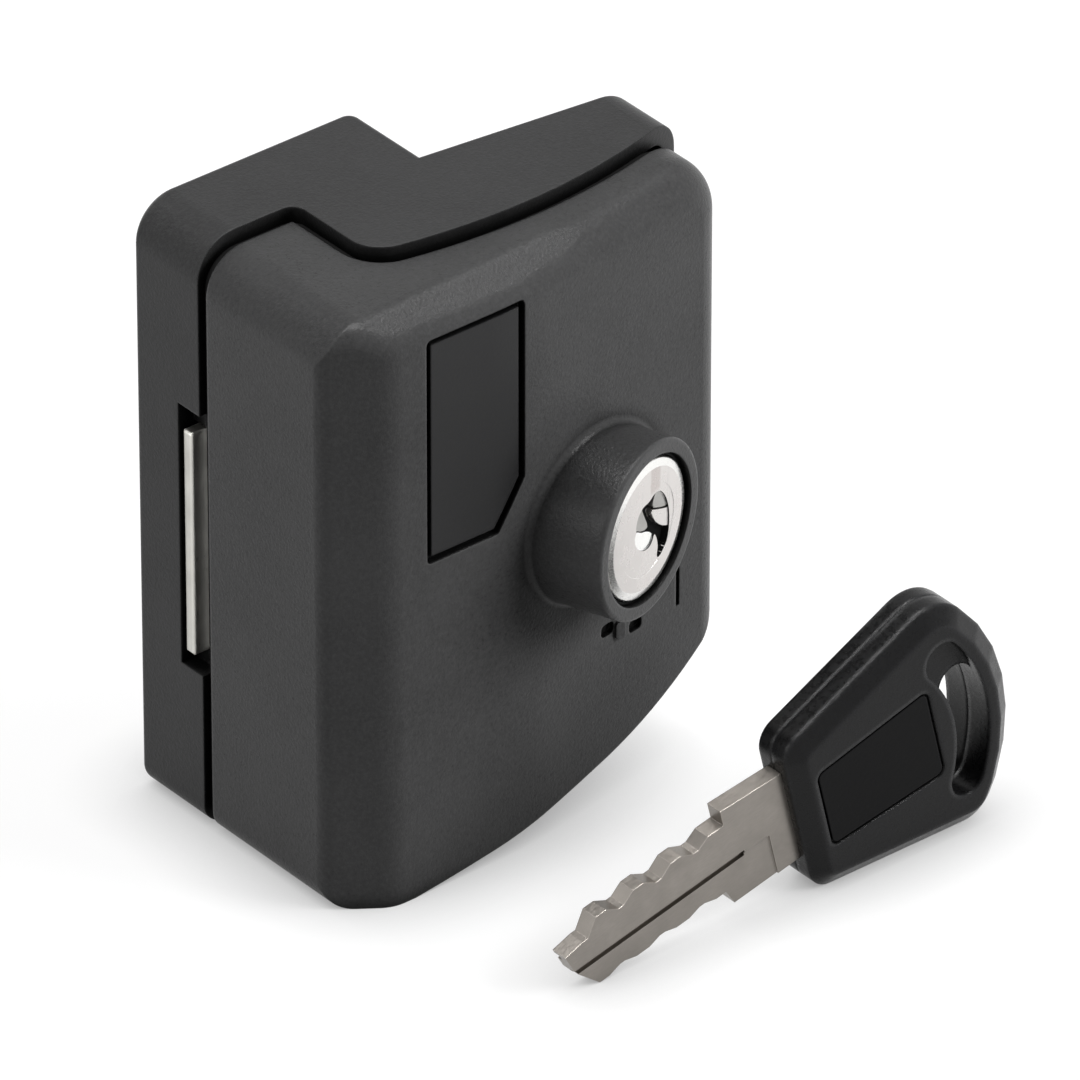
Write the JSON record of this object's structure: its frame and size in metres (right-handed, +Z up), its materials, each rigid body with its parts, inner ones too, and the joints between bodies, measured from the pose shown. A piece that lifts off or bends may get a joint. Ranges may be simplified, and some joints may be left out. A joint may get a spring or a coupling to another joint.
{
  "type": "case lock with sliding bolt and key",
  "caption": "Box-shaped plastic case lock with a keyed cylinder on a round boss, a flat bolt that slides out of its side, and a plastic-headed key standing before it.",
  "frame": {"origin": "on the short flat foot under the left side of the case, on the ground", "axes": "+X to the right along the case's width, +Y to the rear towards the mounting face, +Z up"},
  "size_m": [0.0763, 0.0698, 0.0809],
  "materials": {
    "shell": "fine moulded grain, charcoal",
    "panel": "smooth, near black",
    "seal": "matt black",
    "zinc_screw": "zinc plated",
    "brass_insert": "turned brass",
    "bolt_steel": "bright plated steel",
    "pressed_steel": "zinc plated pressed steel",
    "cast_zinc": "die cast zinc, satin",
    "black_ring": "matt black",
    "satin_face": "satin nickel",
    "wafer_brass": "stamped brass",
    "spring_steel": "drawn wire",
    "key_steel": "warm grey nickel silver",
    "key_plastic": "semi-gloss black"
  },
  "bodies": {
    "case": {"rear_case": "shell", "front_cover": "shell", "case_gasket": "seal", "badge_panel": "panel", "case_screws": "zinc_screw", "threaded_inserts": "brass_insert", "bolt_keeper": "pressed_steel", "keeper_screws": "zinc_screw", "cylinder_body": "cast_zinc", "cylinder_clip": "spring_steel", "cylinder_dowel": "spring_steel", "dust_ring": "black_ring"},
    "plug_group": {"plug": "cast_zinc", "plug_face": "satin_face", "wafer_set": "wafer_brass", "wafer_springs": "spring_steel", "shutter_pin": "spring_steel", "crank": "pressed_steel", "drive_pin": "spring_steel", "crank_screw": "zinc_screw"},
    "shutter": {"shutter_flap": "pressed_steel"},
    "bolt": {"bolt_plate": "bolt_steel", "bolt_carrier": "pressed_steel", "bolt_rivets": "zinc_screw"},
    "key": {"key_blade": "key_steel", "key_head_front": "key_plastic", "key_head_rear": "key_plastic", "key_panel": "key_plastic", "key_pins": "spring_steel"}
  },
  "joints": [
    {"name": "plug_turn", "type": "hinge", "parent": "case", "child": "plug_group", "pos_m": [0.0335, -0.0388, 0.0413], "axis": [0.3371, -0.9415, 0], "range_deg": [0, 90]},
    {"name": "bolt_slide", "type": "slide", "parent": "case", "child": "bolt", "axis": [-1, 0, 0], "range_m": [0, 0.008]},
    {"name": "shutter_swing", "type": "hinge", "parent": "plug_group", "child": "shutter", "pos_m": [0.03583, -0.03552, 0.0413], "axis": [0, 0, -1], "range_deg": [0, 80]},
    {"name": "key_lift", "type": "slide", "parent": "case", "child": "key", "axis": [0, 0, 1], "range_m": [0, 0.06]}
  ],
  "couplings": [
    {"joint": "bolt_slide", "follows": "plug_turn", "m_per_rad": 0.005093}
  ]
}
